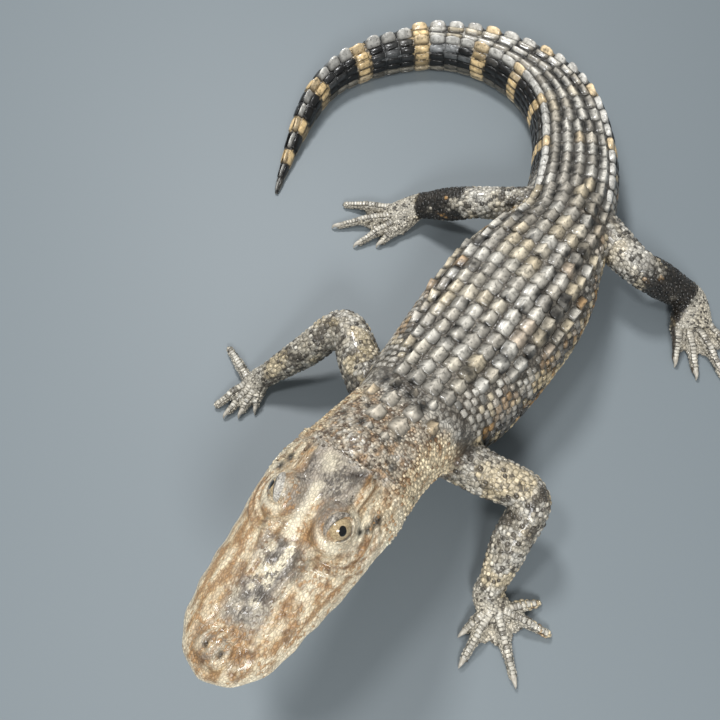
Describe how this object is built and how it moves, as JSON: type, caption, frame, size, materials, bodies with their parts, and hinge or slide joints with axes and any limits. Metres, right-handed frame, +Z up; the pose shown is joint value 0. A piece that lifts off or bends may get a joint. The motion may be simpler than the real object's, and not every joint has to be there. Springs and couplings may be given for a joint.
{
  "type": "american alligator",
  "caption": "Young american alligator as a life-size display model, resting on its belly with its head raised and its tail curled round.",
  "frame": {"origin": "on the floor, under the middle of the model's outline seen from above", "axes": "+Z up, the trunk along Y with the snout towards -Y, the animal's left towards +X"},
  "size_m": [0.4227, 0.5624, 0.1325],
  "materials": {
    "head_skin": "wet satin",
    "back_skin": "wet satin",
    "tail_skin": "wet satin",
    "limb_skin": "wet satin",
    "eyes": "gloss"
  },
  "bodies": {
    "root": {"head": "head_skin", "lower_jaw": "head_skin", "eye_left": "eyes", "eye_right": "eyes", "ear_flap_left": "head_skin", "ear_flap_right": "head_skin", "neck": "back_skin", "torso": "back_skin", "tail_1": "tail_skin", "tail_2": "tail_skin", "tail_3": "tail_skin", "tail_4": "tail_skin", "tail_5": "tail_skin", "upper_arm_left": "limb_skin", "forearm_left": "limb_skin", "hand_left": "limb_skin", "thigh_left": "limb_skin", "shank_left": "limb_skin", "foot_left": "limb_skin", "upper_arm_right": "limb_skin", "forearm_right": "limb_skin", "hand_right": "limb_skin", "thigh_right": "limb_skin", "shank_right": "limb_skin", "foot_right": "limb_skin"}
  },
  "joints": []
}
